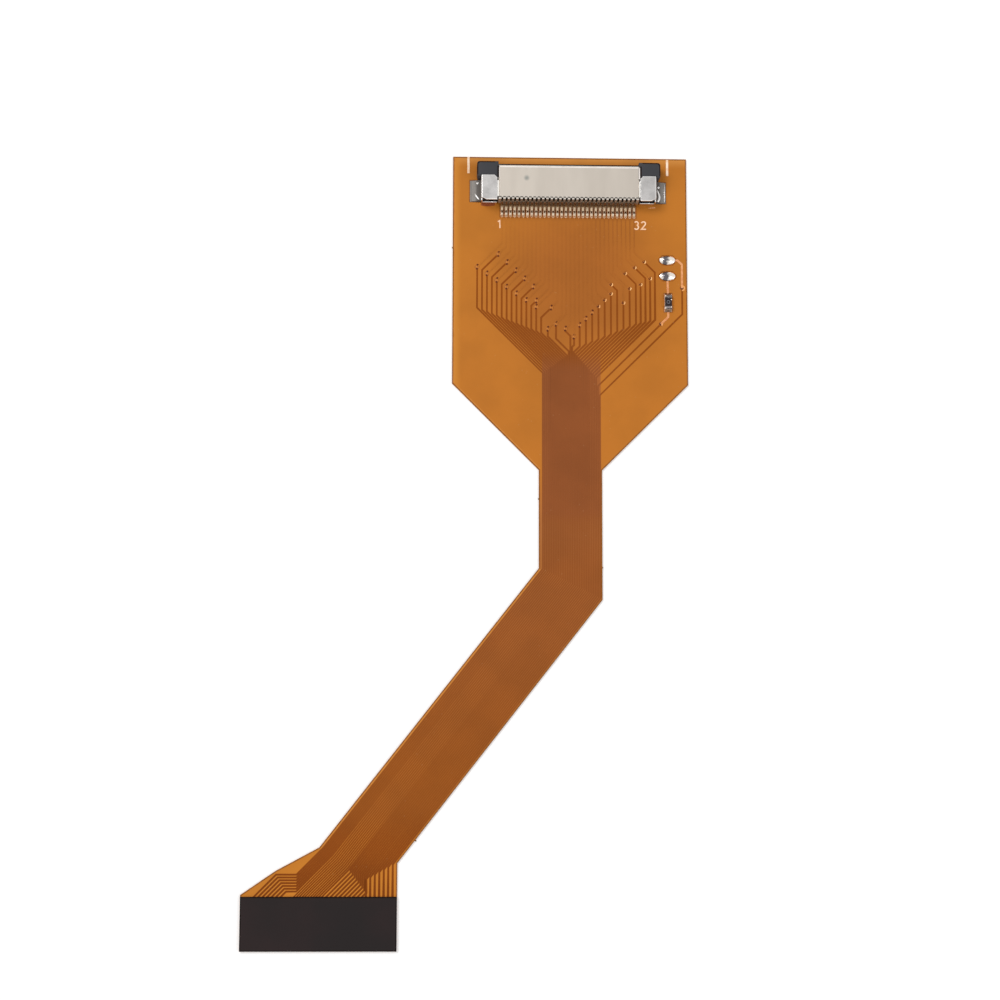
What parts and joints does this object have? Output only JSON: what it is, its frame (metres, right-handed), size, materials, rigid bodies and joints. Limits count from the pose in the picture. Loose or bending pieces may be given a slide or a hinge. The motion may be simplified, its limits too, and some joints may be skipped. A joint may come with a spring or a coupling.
{
  "type": "flexible printed circuit adapter",
  "caption": "Flat amber flexible circuit: a wide head with a shielded fine-pitch connector, a narrow slanted ribbon and a stiffened plug-in tail offset to one side.",
  "frame": {"origin": "middle of the overall outline, on the underside of the back cover film", "axes": "+X across the head towards the chip resistor's side, +Y up the cable towards the connector's mouth, +Z out of the front of the film, where the connector sits"},
  "size_m": [0.0508, 0.0914, 0.0021],
  "materials": {
    "amber_film": "glossy",
    "back_copper": "satin",
    "front_copper": "satin",
    "black_stiffener": "matte",
    "black_moulding": "matte",
    "bright_sheet": "satin",
    "tinned_contact": "satin",
    "solder": "satin",
    "white_ceramic": "matte",
    "black_coat": "glossy"
  },
  "bodies": {
    "root": {"back_cover_film": "amber_film", "signal_lines": "back_copper", "via_barrels": "back_copper", "base_film": "amber_film", "pin_lines": "front_copper", "link_lines": "front_copper", "bracket_pads": "front_copper", "front_cover_film": "amber_film", "tail_stiffener": "black_stiffener", "connector_housing": "black_moulding", "connector_shell": "bright_sheet", "connector_contacts": "tinned_contact", "contact_solder": "solder", "left_bracket": "bright_sheet", "left_bracket_solder": "solder", "right_bracket": "bright_sheet", "right_bracket_solder": "solder", "upper_jumper_solder": "solder", "lower_jumper_solder": "solder", "chip_ceramic": "white_ceramic", "chip_coat": "black_coat", "chip_upper_cap": "tinned_contact", "chip_lower_cap": "tinned_contact", "chip_solder": "solder"}
  },
  "joints": []
}
